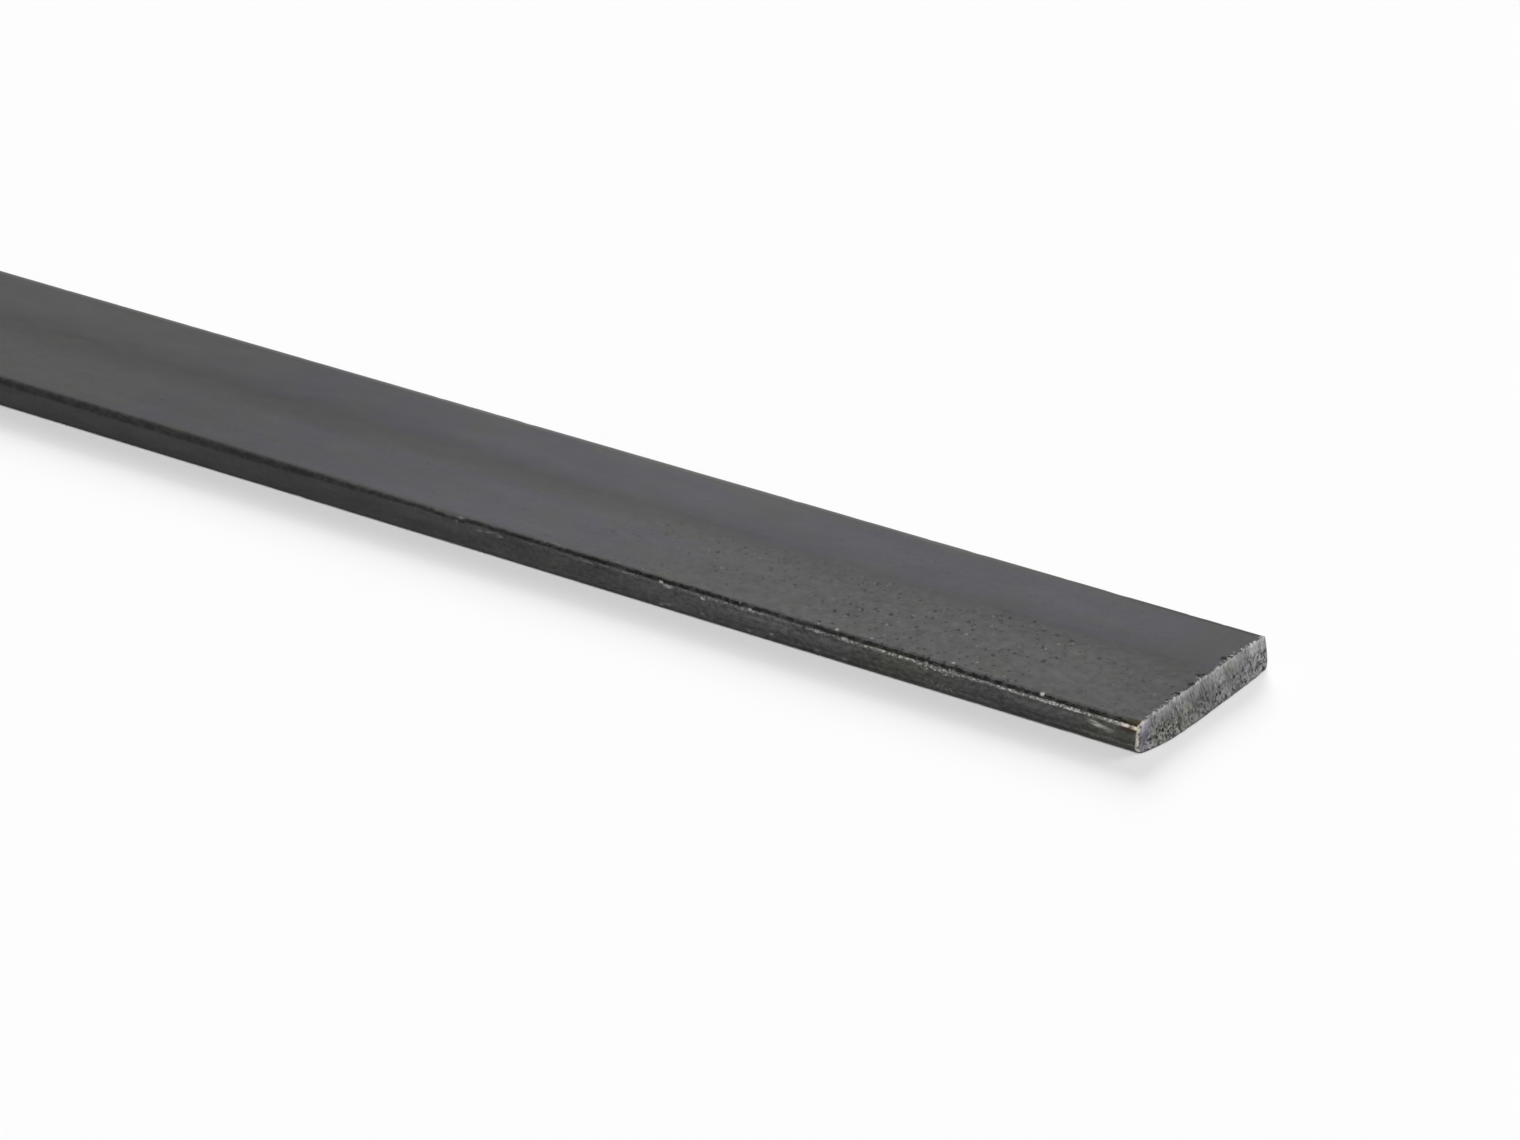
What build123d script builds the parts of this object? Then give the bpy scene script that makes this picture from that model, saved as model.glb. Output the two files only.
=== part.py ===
from build123d import *

import os

# Hot-rolled mild steel flat bar, sheared to a stock length. All sizes are in millimetres.
#
# The bar lies on one wide face. +X runs along its length, +Y across it and +Z up.
# The origin is under the middle of the bar, in the plane that it rests on.
#
# The bar is one rolled piece, so it is one solid, made in the order of the real one:
# the rolls give the section, and the shear then crops both ends.

# The rolled section
bar_width = 35.0  # over the crowns of the two narrow edges
bar_thickness = 5.0
corner_radius = 0.8  # where a wide face turns into a narrow edge
edge_crown = 0.15  # how far a narrow edge stands out at half the thickness

# The sheared ends. One pair of blades makes both, so the two cuts are parallel.
bar_length = 1000.0  # between the two cuts, along any one line of the bar
out_of_square = 0.35  # how far a cut stands out at the -Y edge and falls back at the +Y edge
shear_lean = 0.15  # how far the foot of a cut stands past its head, as a mean of both edges
shear_twist = 0.5  # how much more than the mean a cut leans at the +Y edge, and less at -Y
shear_belly = 1.2  # how far the foot of a cut bows out between the edges
belly_slope = 0.7  # how far the bow falls off towards +Y at mid-width, per half width
shear_hollow = 0.4  # how far the head of a cut falls back between the edges
rollover_radius = 0.5  # the edge that the shear blade pulls round

# The cutting body passes the bar by these, so that none of its faces lies in one of the bar's
tool_margin = 2.0  # beyond the narrow edges
face_margin = 0.05  # beyond the wide faces, less than the blade's rounding
slices_across = 9  # lengthwise slices that the cutting body is lofted through


def rolled_section():
    """The bar's outline across its length: flat faces, crowned edges, rounded corners."""
    crown_y = bar_width / 2
    corner_y = crown_y - edge_crown
    crown_z = bar_thickness / 2
    underside = Line((-corner_y, 0), (corner_y, 0))
    right_edge = ThreePointArc((corner_y, 0), (crown_y, crown_z), (corner_y, bar_thickness))
    top = Line((corner_y, bar_thickness), (-corner_y, bar_thickness))
    left_edge = ThreePointArc((-corner_y, bar_thickness), (-crown_y, crown_z), (-corner_y, 0))
    outline = make_face([underside, right_edge, top, left_edge])
    return fillet(outline.vertices(), corner_radius)


def rolled_bar():
    """The section run out along X, past all that a shear cut can reach."""
    reach = out_of_square + shear_lean + shear_twist + shear_belly + belly_slope + shear_hollow
    run = bar_length + 2 * (reach + tool_margin)
    section = Plane.YZ.offset(-run / 2) * rolled_section()
    return extrude(section, run)


def cut_reach(across, rise):
    """How far a cut lies towards +X of its nominal plane, at one spot of it.

    across runs from -1 at the -Y edge to 1 at the +Y edge, and rise from 0 at the
    foot of the cut to 1 at its head.
    """
    lean = (shear_lean + shear_twist * across) * (0.5 - rise)
    bow = shear_belly * (1 - across**4) - belly_slope * across * (1 - across**2)
    hollow = shear_hollow * (1 - across**2)
    return lean - out_of_square * across + bow * (1 - rise) - hollow * rise


def kept_slice(y):
    """What the two cuts leave of the bar in one lengthwise slice, seen from the side.

    The blades pull round the edge that they meet first. That is the foot of the cut
    at the +X end, and the head of the cut at the -X end.
    """
    across = y / (bar_width / 2)
    low, high = -face_margin, bar_thickness + face_margin
    foot_x = cut_reach(across, low / bar_thickness)
    head_x = cut_reach(across, high / bar_thickness)
    front, back = bar_length / 2, -bar_length / 2
    front_foot, front_head = (front + foot_x, low), (front + head_x, high)
    back_head, back_foot = (back + head_x, high), (back + foot_x, low)
    outline = make_face(Polyline(front_foot, front_head, back_head, back_foot, close=True))
    corners = outline.vertices().sort_by(Axis.Y)
    pulled_foot = corners[:2].sort_by(Axis.X)[-1]
    pulled_head = corners[2:].sort_by(Axis.X)[0]
    rounded = fillet([pulled_foot, pulled_head], rollover_radius)
    return Plane.XZ.offset(-y) * rounded


def shear_block():
    """The body between the two cuts, lofted from one side of the bar to the other."""
    side = bar_width / 2 + tool_margin
    pitch = 2 * side / (slices_across - 1)
    return loft([kept_slice(-side + pitch * i) for i in range(slices_across)])


def flat_bar():
    """The finished bar: what lies in the rolled run and between the two cuts."""
    return rolled_bar() & shear_block()


parts = {"flat_bar": flat_bar()}

os.makedirs("parts", exist_ok=True)
for name, part in parts.items():
    export_step(part, f"parts/{name}.step")
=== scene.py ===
# %% [markdown]
# # A length of hot-rolled flat bar
#
# This lesson dresses one plain solid, a steel flat 35 mm wide and 5 mm thick. The rolls leave
# its skin: a thin, tight layer of blue-grey oxide called mill scale. The shear leaves its ends:
# torn, bare steel with a burr along one edge. Almost all that the eye enjoys on a bar sits in
# those two finishes and in the corners between them, so the work goes there.
#
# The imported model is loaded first. It fixes where everything is, and nothing here moves it.

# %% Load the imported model
import math

import bpy
import numpy as np
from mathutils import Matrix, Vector, noise


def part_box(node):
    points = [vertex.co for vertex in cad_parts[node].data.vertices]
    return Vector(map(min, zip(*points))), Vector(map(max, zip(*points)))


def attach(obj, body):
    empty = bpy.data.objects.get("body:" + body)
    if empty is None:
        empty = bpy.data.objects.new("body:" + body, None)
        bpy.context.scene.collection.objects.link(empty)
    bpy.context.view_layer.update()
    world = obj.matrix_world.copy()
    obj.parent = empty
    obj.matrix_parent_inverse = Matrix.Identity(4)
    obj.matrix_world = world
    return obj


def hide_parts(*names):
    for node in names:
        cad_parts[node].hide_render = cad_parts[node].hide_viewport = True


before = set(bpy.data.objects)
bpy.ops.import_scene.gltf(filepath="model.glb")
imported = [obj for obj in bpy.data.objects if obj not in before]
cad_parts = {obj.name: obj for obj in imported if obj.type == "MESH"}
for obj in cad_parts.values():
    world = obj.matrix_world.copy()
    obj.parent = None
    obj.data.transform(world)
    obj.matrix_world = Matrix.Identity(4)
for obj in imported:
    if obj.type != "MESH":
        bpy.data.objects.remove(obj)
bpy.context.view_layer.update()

# %% [markdown]
# ## The sizes that everything else follows
#
# Width and thickness are read from the model, so they can't drift from it. The small sizes, such
# as the rolled corner, are those of the model's own section. Lengths are in millimetres, which
# suit a bar, wherever no comment says metres.

# %% Sizes of the bar
MM = 0.001
bar_low, bar_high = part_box("flat_bar")
bar_width = (bar_high.y - bar_low.y) / MM
bar_thickness = (bar_high.z - bar_low.z) / MM
bar_length = 1000.0  # between the two cuts
corner_radius = 0.8
edge_crown = 0.15
torn_depth = 0.25  # the model's cut is smooth; the torn one lies this far inside it
cut_at = bar_length / 2 - torn_depth
print("section:", round(bar_width, 3), "x", round(bar_thickness, 3), "mm")

# %% [markdown]
# ## The camera
#
# A bar shows itself best from near one end, looking back along it, so that the cut, the narrow
# side and the wide face all show. A long lens keeps its edges nearly parallel. The camera is
# placed by what it aims at, how far off it stands and two angles, which is easier to adjust than
# three coordinates.

# %% Place the camera
sensor_width, focal_length = 36.0, 136.7
aim_behind_cut, aim_across = 78.55, 2.2
aim = Vector((cut_at - aim_behind_cut, aim_across, 0.0)) * MM
distance = 0.8553  # in metres
azimuth, elevation = math.radians(35.85), math.radians(24.38)
toward_camera = Vector((
    math.cos(elevation) * math.sin(azimuth),
    -math.cos(elevation) * math.cos(azimuth),
    math.sin(elevation),
))

lens = bpy.data.cameras.new("camera")
lens.sensor_width = sensor_width
lens.lens = focal_length
lens.clip_start = 0.01
camera = bpy.data.objects.new("camera", lens)
camera.location = aim + toward_camera * distance
camera.rotation_euler = (math.pi / 2 - elevation, 0, azimuth)
bpy.context.scene.collection.objects.link(camera)
bpy.context.scene.camera = camera
print("camera at", [round(v, 3) for v in camera.location])

# %% [markdown]
# ## The outline of the rolled section
#
# Everything on the skin is placed by how far round the section it lies. `skin` answers that for
# a whole array at once: it takes shares of the way round, from 0 to 1, and returns the point on
# the outline, the direction straight out of it, and `corner_offset`. That last number is the
# distance from the middle of the nearest rounded corner, counted as plus on a wide face and
# minus on a narrow one. Wear and dirt follow the corners, so it is used again in the finishes.

# %% Walk round the section
half_width, half_height = bar_width / 2, bar_thickness / 2
crown_radius = (half_height**2 + edge_crown**2) / (2 * edge_crown)
crown_centre = half_width - crown_radius
corner_z = half_height - corner_radius
corner_y = crown_centre + math.sqrt((crown_radius - corner_radius) ** 2 - corner_z**2)
crown_angle = math.asin(corner_z / (crown_radius - corner_radius))

flat_run = corner_y
corner_run = corner_radius * (math.pi / 2 - crown_angle)
crown_run = crown_radius * crown_angle
quarter_run = flat_run + corner_run + crown_run
girth = 4 * quarter_run


def quarter(run):
    """One quarter of the outline, from the middle of a wide face to the middle of a narrow one."""
    turn = np.clip((run - flat_run) / corner_radius, 0, math.pi / 2 - crown_angle)
    last = np.clip((quarter_run - run) / crown_radius, 0, crown_angle)
    on_flat, on_crown = run <= flat_run, run > flat_run + corner_run
    angle = np.where(on_crown, last, math.pi / 2 - turn)
    y = np.where(on_flat, run, corner_y + corner_radius * np.cos(angle))
    z = corner_z + corner_radius * np.sin(angle)
    y = np.where(on_crown, crown_centre + crown_radius * np.cos(angle), y)
    z = np.where(on_crown, crown_radius * np.sin(angle), z)
    return y, z, np.cos(angle), np.sin(angle)


def skin(share):
    """Points of the outline at these shares of the way round, from the middle of the top."""
    around = (np.asarray(share) % 1) * 4
    which = np.floor(around).astype(int)
    part = around - which
    run = np.where(which % 2 == 0, part, 1 - part) * quarter_run
    y, z, out_y, out_z = quarter(run)
    far = np.where((which == 0) | (which == 1), 1.0, -1.0)
    up = np.where((which == 0) | (which == 3), 1.0, -1.0)
    corner_offset = flat_run + corner_run / 2 - run
    return far * y, half_height + up * z, far * out_y, up * out_z, corner_offset


print("girth of the section:", round(girth, 2), "mm")

# %% [markdown]
# ## The shape of a sheared end
#
# A shear tears more than it cuts. The metal bows out at the foot of the cut and falls back a
# little at the head, and a blade that rocks as it comes down twists the face between the two.
# These are the model's own sizes and its own rule, so the torn face follows the solid one. The
# edge that the blade meets first is dragged round, a little tighter here than on the model, to
# leave the relief some room. The edge it leaves last is drawn up into a thin burr. Both ends
# come from the same pair of blades, so they are parallel.

# %% Say how a cut leans
out_of_square = 0.35
shear_lean, shear_twist = 0.15, 0.5
shear_belly, belly_slope, shear_hollow = 1.2, 0.7, 0.4
rollover_radius, sharp_edge = 0.38, 0.07


def cut_lean(y, z):
    """How far the cut lies towards +X of its nominal plane, in mm."""
    across, rise = y / half_width, z / bar_thickness
    lean = (shear_lean + shear_twist * across) * (0.5 - rise)
    bow = shear_belly * (1 - across**4) - belly_slope * across * (1 - across**2)
    hollow = shear_hollow * (1 - across**2)
    return lean - out_of_square * across + bow * (1 - rise) - hollow * rise


def edge_radius(end, y, z):
    """How far the cut's edge is rounded: much where the blade dragged it, hardly elsewhere."""
    rise = z / bar_thickness
    dragged = np.clip((1 - rise if end > 0 else rise) * 1.6 - 0.6, 0, 1) ** 1.5
    return sharp_edge + (rollover_radius - sharp_edge) * dragged * (1 - 0.6 * (y / half_width) ** 4)


print("lean of the cut, foot and head, mid-width:", cut_lean(0.0, 0.0), cut_lean(0.0, bar_thickness))

# %% [markdown]
# ## Rings, from one end to the other
#
# The bar could be a box with bevelled edges, but then its small forms would fight the
# mesh. A better way is to think as a rope maker does, and lay ring after ring. A few rings close
# the cut face, a few turn its edge, and the rest run along the skin. Each point knows how far it
# lies from the cut and from the nearest corner, which the relief and the finish ask for.
#
# Rings lie close where there is much to see, at the ends, and far apart in the middle. Points
# within a ring follow the same rule: many round a corner, few on the underside.

# %% Spread points round a ring
def ring_shares(top, corner, crown, under):
    """Where the points of a ring lie round the section, given the counts for each stretch."""
    def runs(flat):
        return np.concatenate([
            np.linspace(0, flat_run, flat, endpoint=False),
            np.linspace(flat_run, flat_run + corner_run, corner, endpoint=False),
            np.linspace(flat_run + corner_run, quarter_run, crown, endpoint=False),
        ]) / quarter_run

    def back(going):
        return 1 - np.append(going[1:], 1)[::-1]

    over, below = runs(top), runs(under)
    return np.concatenate([over, 1 + back(below), 2 + below, 3 + back(over)]) / 4


fine_ring = ring_shares(top=76, corner=8, crown=8, under=76)
near_ring = ring_shares(top=48, corner=7, crown=4, under=14)
visible_ring = ring_shares(top=36, corner=6, crown=3, under=8)
plain_ring = ring_shares(top=20, corner=5, crown=2, under=8)
print("points in a ring:", [len(r) for r in (fine_ring, near_ring, visible_ring, plain_ring)])

# %% List the rings of the whole bar
settle_run = 14.0  # past this far from a cut, a ring lies square to the bar
cap_steps = np.linspace(1, 0.06, 14)  # from the middle line of the cut face out to its edge
edge_steps = np.linspace(1, 0, 6)  # round the edge, from the cut face to the skin
skin_steps = (0.1, 0.2, 0.32, 0.46, 0.62, 0.8, 1.0, 1.25, 1.6, 2.0, 2.5)  # mm behind that edge
whole_run = 2 * cut_at
stretches = (  # start and stop in mm behind the cut at +X, mm from ring to ring, points in a ring
    (3, 60, 0.45, near_ring),
    (60, 250, 0.9, visible_ring),
    (250, whole_run - 16, 4.0, plain_ring),
    (whole_run - 16, whole_run - 3, 1.5, visible_ring),
)


def cap_points(end, inward, shares):
    """A ring on the cut face. inward is 0 at its edge and 1 on the line down its middle."""
    y, z, out_y, out_z, offset = skin(shares)
    radius = edge_radius(end, y, z)
    middle_y = np.clip(y, half_height - half_width, half_width - half_height)
    ring_y = (y - radius * out_y) * (1 - inward) + middle_y * inward
    ring_z = (z - radius * out_z) * (1 - inward) + half_height * inward
    x = end * cut_at + cut_lean(y, z) * (1 - inward) + cut_lean(middle_y, half_height) * inward
    from_cut = -np.hypot(ring_y - y, ring_z - z)
    out = np.stack([np.full_like(y, end), 0 * y, 0 * y], 1)
    return np.stack([x, ring_y, ring_z], 1), out, from_cut, np.ones_like(y), offset


def edge_points(end, turn, shares):
    """A ring on the rounded edge of a cut, turned from the skin (0) to the cut face (1)."""
    y, z, out_y, out_z, offset = skin(shares)
    radius = edge_radius(end, y, z)
    angle = turn * math.pi / 2
    lift, reach = radius * (math.cos(angle) - 1), radius * (math.sin(angle) - 1)
    x = end * (cut_at + reach) + cut_lean(y, z)
    out = np.stack([np.full_like(y, end * math.sin(angle)),
                    out_y * math.cos(angle), out_z * math.cos(angle)], 1)
    from_cut = radius * (math.pi / 4 - angle)
    point = np.stack([x, y + lift * out_y, z + lift * out_z], 1)
    return point, out, from_cut, np.full_like(y, float(turn > 0.5)), offset


def skin_points(end, inward, shares):
    """A ring on the rolled skin, so many mm from the rounded edge of the cut at one end."""
    y, z, out_y, out_z, offset = skin(shares)
    fade = 1 - min(inward / settle_run, 1)
    fade = fade * fade * (3 - 2 * fade)
    radius = edge_radius(end, y, z)
    x = end * (cut_at - inward - radius * fade) + cut_lean(y, z) * fade
    out = np.stack([0 * y, out_y, out_z], 1)
    return np.stack([x, y, z], 1), out, inward + radius * math.pi / 4, np.zeros_like(y), offset


def end_rings(end):
    """The rings of one end, from the middle line of the cut face to the skin behind it."""
    for points_of, steps in ((cap_points, cap_steps), (edge_points, edge_steps), (skin_points, skin_steps)):
        for step in steps:
            yield points_of, end, step, fine_ring


def run_rings():
    """The rings between the two ends: closest behind the cut at +X, widest in the far half."""
    for start, stop, pitch, ring in stretches:
        for inward in np.arange(start, stop, pitch):
            if inward < cut_at:
                yield skin_points, 1, inward, ring
            else:
                yield skin_points, -1, whole_run - inward, ring


ring_list = [*end_rings(1), *run_rings(), *list(end_rings(-1))[::-1]]
laid = [points_of(end, step, shares) for points_of, end, step, shares in ring_list]
points, outward, from_cut, on_cut, corner_offset = (np.concatenate(part) for part in zip(*laid))
ring_starts = np.cumsum([0] + [len(shares) for *_, shares in ring_list])
print("rings:", len(ring_list), "points:", len(points))

# %% [markdown]
# ## Relief
#
# The rings so far lie on a perfect bar. The real skin swells and dips by hundredths of a
# millimetre, its narrow edges wander a little, and each rounded corner carries the nicks of a
# life on a rack. `ripple` samples Blender's own noise at every point; stretching its grain along
# the bar makes it look rolled rather than poured. Relief on the skin only takes away, and the
# cut starts a little inside the model's, so that the dressed bar never grows past the model.

# %% Relief of the rolled skin
skin_swell, edge_wander = 0.012, 0.045  # in mm
along, across, height = points.T
rise = height / bar_thickness


def ripple(grain, octaves=2, seed=0.0):
    """Noise at every point, about -1 to 1, with a grain of so many mm along, across and up."""
    shift = Vector((seed * 17.3, seed * 5.1, seed * 9.7))
    where = points / np.array(grain)
    return np.array([noise.fractal(Vector(p) + shift, 1.0, 2.0, octaves) for p in where])


def bell(distance, width):
    """A soft bump: 1 where distance is 0, and almost nothing past twice the width."""
    return np.exp(-((distance / width) ** 2))


on_edge = np.clip(0.5 - corner_offset, 0, 1)
skin_relief = skin_swell * (ripple((14, 5, 5), seed=1) - 1)
skin_relief = skin_relief + edge_wander * on_edge * (ripple((22, 30, 4), seed=2) - 1)
print("swell of the skin, mm:", round(float(skin_relief.min()), 3), round(float(skin_relief.max()), 3))

# %% Nicks along the corners
dice = np.random.default_rng(41)
corner_share = (flat_run + corner_run / 2) / quarter_run / 4
near_top, far_top = 1 - corner_share, corner_share
near_foot, far_foot = 0.5 + corner_share, 0.5 - corner_share
hand_nick = (cut_at - 16.0, near_top, 0.35, 0.45, 0.16)  # place, corner, length, breadth, depth
crowded = 0.6  # this share of the nicks is crowded behind the cut at +X
crowd_start, crowd_reach, whole_reach = cut_at - 4, 300, 490

nicks = [hand_nick]
for corner, count in ((near_top, 70), (far_top, 40), (far_foot, 20), (near_foot, 20)):
    for _ in range(count):
        if dice.random() < crowded:
            place = crowd_start - crowd_reach * dice.random() ** 1.5
        else:
            place = dice.uniform(-whole_reach, whole_reach)
        nicks.append((place, corner, dice.uniform(0.25, 1.1), dice.uniform(0.2, 0.5),
                      dice.uniform(0.03, 0.11)))
shares = np.concatenate([ring for *_, ring in ring_list])
for place, share, length, breadth, depth in nicks:
    close = np.abs(along - place) < 3 * length
    skin_relief[close] -= depth * (bell(along[close] - place, length)
                                   * bell((shares[close] - share) * girth, breadth))
print("nicks:", len(nicks))

# %% [markdown]
# ## The torn face of the cut
#
# Under the head of the cut lies a fairly even band with upright drag marks, and below that the
# steel has broken in coarse, crystalline grains. The same `ripple` gives both: a grain drawn out
# upright for the drag marks, and a fine, deep one for the fracture. The burr is a ragged lip on
# the edge that tore last, the head at +X and the foot at -X. It is hammered flat in handling and
# rubbed off at the corners, so it stands out endways and not past the wide faces.

# %% Relief of the cut and its burr
drag_depth, grain_depth, scallop_depth = 0.035, 0.085, 0.09  # in mm
burr_height, tear_height = 0.32, 0.07
band_foot, band_blend = 0.62, 0.22  # where the smooth band begins, in shares of the thickness
toward_burr = np.where(along > 0, rise, 1 - rise)
torn = np.clip((band_foot - toward_burr) / band_blend, 0, 1)
inside = np.clip(-from_cut / 0.5, 0, 1)
drag = drag_depth * ripple((1, 0.28, 2.6), seed=3)
patchy = np.clip(0.65 + 0.9 * ripple((3, 2.6, 1.6), seed=8), 0.2, 1.4)
grains = grain_depth * patchy * ripple((0.5, 0.5, 0.42), octaves=3, seed=4)
scallop = scallop_depth * ripple((3, 2.4, 1.6), seed=5)
cut_relief = (drag * (1 - 0.6 * torn) + grains * (0.2 + 0.8 * torn)) * inside
cut_relief = np.minimum(cut_relief + scallop * (0.3 + 0.7 * inside), torn_depth / 2)

at_cut = np.abs(along) > cut_at - 3
last_edge = np.clip(toward_burr * 10 - 9, 0, 1) * at_cut
teeth = np.clip(0.45 + 0.9 * ripple((3, 0.55, 3), octaves=3, seed=6), 0.05, 1.2)
worn_off = np.clip(half_width - np.abs(across), 0, 1)
burr = burr_height * teeth * worn_off * last_edge * bell(from_cut, 0.17)
tear = tear_height * ripple((4, 1.1, 4), octaves=2, seed=7) * bell(from_cut, 0.9)

relief = np.where(on_cut > 0.5, cut_relief, skin_relief)
moved = points + outward * relief[:, None]
moved[:, 0] += np.sign(along) * (tear * at_cut + burr)
moved[:, 2] = np.clip(moved[:, 2] + burr * (along > 0), 0, bar_thickness)
print("burr stands out up to", round(float(burr.max()), 3), "mm")

# %% [markdown]
# ## From rings to one closed mesh
#
# Two neighbouring rings with as many points are joined by four-sided faces. Where the count
# changes, the faces close like a zip: whichever ring is behind takes the next step, and each
# step is a triangle. The last ring at either end lies on a line, so its points meet in pairs,
# and merging them closes the bar.

# %% Join the rings
def join(first, first_shares, second, second_shares):
    """Faces between two rings, each given by its first point's number and its shares."""
    n, m = len(first_shares), len(second_shares)
    if n == m:
        return [(first + i, first + (i + 1) % n, second + (i + 1) % n, second + i) for i in range(n)]
    faces, i, j = [], 0, 0
    while i < n or j < m:
        a, b = first + i % n, second + j % m
        next_first = first_shares[i + 1] if i + 1 < n else 1.0
        next_second = second_shares[j + 1] if j + 1 < m else 1.0
        if j == m or (i < n and next_first <= next_second):
            i += 1
            faces.append((a, first + i % n, b))
        else:
            j += 1
            faces.append((a, second + j % m, b))
    return faces


faces = []
for k in range(len(ring_list) - 1):
    faces += join(ring_starts[k], ring_list[k][3], ring_starts[k + 1], ring_list[k + 1][3])

mesh = bpy.data.meshes.new("rolled_bar")
mesh.from_pydata((moved * MM).tolist(), [], faces)
for name, values in (("corner_offset", corner_offset), ("from_cut", from_cut),
                     ("relief", relief), ("toward_burr", toward_burr)):
    mesh.attributes.new(name, "FLOAT", "POINT").data.foreach_set("value", values.astype(np.float32))
bar = bpy.data.objects.new("rolled_bar", mesh)
bpy.context.scene.collection.objects.link(bar)
print("faces before merging:", len(mesh.polygons))

# %% Merge the closing lines and smooth the shading
import bmesh

form = bmesh.new()
form.from_mesh(mesh)
form.verts.ensure_lookup_table()
closing = [v for v in form.verts if v.index < len(fine_ring) or v.index >= ring_starts[-2]]
bmesh.ops.remove_doubles(form, verts=closing, dist=1e-6)
bmesh.ops.dissolve_degenerate(form, dist=1e-8, edges=form.edges)
bmesh.ops.recalc_face_normals(form, faces=form.faces)
open_edges = sum(not edge.is_manifold for edge in form.edges)
form.to_mesh(mesh)
form.free()
mesh.shade_smooth()
triangles = sum(len(face.vertices) - 2 for face in mesh.polygons)
print("triangles:", triangles, "open edges:", open_edges)

# %% [markdown]
# ## A small language for finishes
#
# A material in Blender is a net of nodes. Drawn by hand it is easy to start and hard to read
# back, so two small classes write it as plain sums. `Wire` is one socket: adding, subtracting
# or multiplying wires makes the Math nodes. `Bench` is the net, and its one method `node` makes
# any other node from its type, its settings and what goes into its sockets. The rest of `Bench`
# is what this bar needs most often: noise, cells, and one colour laid over another.

# %% Wires and a bench to solder them on
class Wire:
    """A socket of a material that can stand in a sum, as in 1 - mask or grey * 0.8."""

    def __init__(self, bench, socket):
        self.bench, self.socket = bench, socket

    def math(self, operation, *values):
        return self.bench.node("ShaderNodeMath", {"operation": operation}, values)

    def __add__(self, other):
        return self.math("ADD", self, other)

    def __sub__(self, other):
        return self.math("SUBTRACT", self, other)

    def __mul__(self, other):
        return self.math("MULTIPLY", self, other)

    def __truediv__(self, other):
        return self.math("DIVIDE", self, other)

    def __rsub__(self, other):
        return self.math("SUBTRACT", other, self)

    def __abs__(self):
        return self.math("ABSOLUTE", self)

    __radd__, __rmul__ = __add__, __mul__

    def least(self, other):
        return self.math("MINIMUM", self, other)

    def most(self, other):
        return self.math("MAXIMUM", self, other)

    def step(self, start, stop):
        """0 where the wire is at start, 1 where it is at stop, and a smooth ramp between."""
        return self.bench.node("ShaderNodeMapRange", {"interpolation_type": "SMOOTHSTEP"},
                               {"Value": self, "From Min": start, "From Max": stop})

    def bump(self, centre, width, core=0.0):
        """1 up to core on either side of centre, falling smoothly to 0 at width."""
        return abs(self - centre).step(width, core)


class Bench:
    """The node net of one material or world."""

    def __init__(self, tree):
        self.tree = tree
        tree.nodes.clear()

    def node(self, kind, settings=None, sockets=(), give=None):
        """Adds a node: its settings first, then its sockets by name, or by place in a list."""
        node = self.tree.nodes.new(kind)
        for name, value in (settings or {}).items():
            setattr(node, name, value)
        live = [socket for socket in node.inputs if socket.enabled]
        named = sockets.items() if isinstance(sockets, dict) else zip(range(len(live)), sockets)
        for name, value in named:
            socket = live[name] if isinstance(name, int) else next(s for s in live if s.name == name)
            if isinstance(value, Wire):
                self.tree.links.new(value.socket, socket)
            else:
                socket.default_value = value
        outputs = {socket.name: Wire(self, socket) for socket in node.outputs if socket.enabled}
        if not outputs:
            return None
        if isinstance(give, tuple):
            return [outputs[name] for name in give]
        return outputs[give] if give else next(iter(outputs.values()))

    def mix(self, share, first, second):
        """The first colour where share is 0 and the second where it is 1."""
        return self.node("ShaderNodeMix", {"data_type": "RGBA"},
                         {"Factor": share, "A": first, "B": second})

    def coat(self, colour, *coats):
        """Lays coats over a colour, one after another. Each is a mask and the coat's colour."""
        for mask, paint in coats:
            colour = self.mix(mask, colour, paint)
        return colour

    def dim(self, colour, level):
        """A colour times a level of light."""
        return self.node("ShaderNodeVectorMath", {"operation": "SCALE"},
                         {"Vector": colour, "Scale": level})

    def measure(self, name):
        """One of the numbers that the mesh carries at its points."""
        return self.node("ShaderNodeAttribute", {"attribute_name": name}, give="Fac")

    def grained(self, grain, seed, slant=0.0):
        """Where a spot lies, counted in grains of so many mm along, across and up the bar."""
        place = self.node("ShaderNodeTexCoord", give="Object")
        if slant:
            place = self.node("ShaderNodeMapping", None,
                              {"Vector": place, "Rotation": (0, 0, math.radians(slant))})
        return self.node("ShaderNodeMapping", None,
                         {"Vector": place, "Location": (seed * 3.1, seed * 7.7, seed * 1.9),
                          "Scale": tuple(1 / (g * MM) for g in grain)})

    def cloud(self, grain, seed=0.0, detail=3.0, roughness=0.5):
        """Noise from 0 to 1."""
        return self.node("ShaderNodeTexNoise", None,
                         {"Vector": self.grained(grain, seed), "Scale": 1.0,
                          "Detail": detail, "Roughness": roughness}, give="Fac")

    def spots(self, grain, seed=0.0, solid="3D", slant=0.0):
        """How far the nearest of some scattered cells is, and the number that it drew."""
        far, colour = self.node("ShaderNodeTexVoronoi", {"voronoi_dimensions": solid},
                                {"Vector": self.grained(grain, seed, slant), "Scale": 1.0},
                                give=("Distance", "Color"))
        return far, self.node("ShaderNodeSeparateColor", None, {"Color": colour}, give="Red")


print("bench ready")


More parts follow.
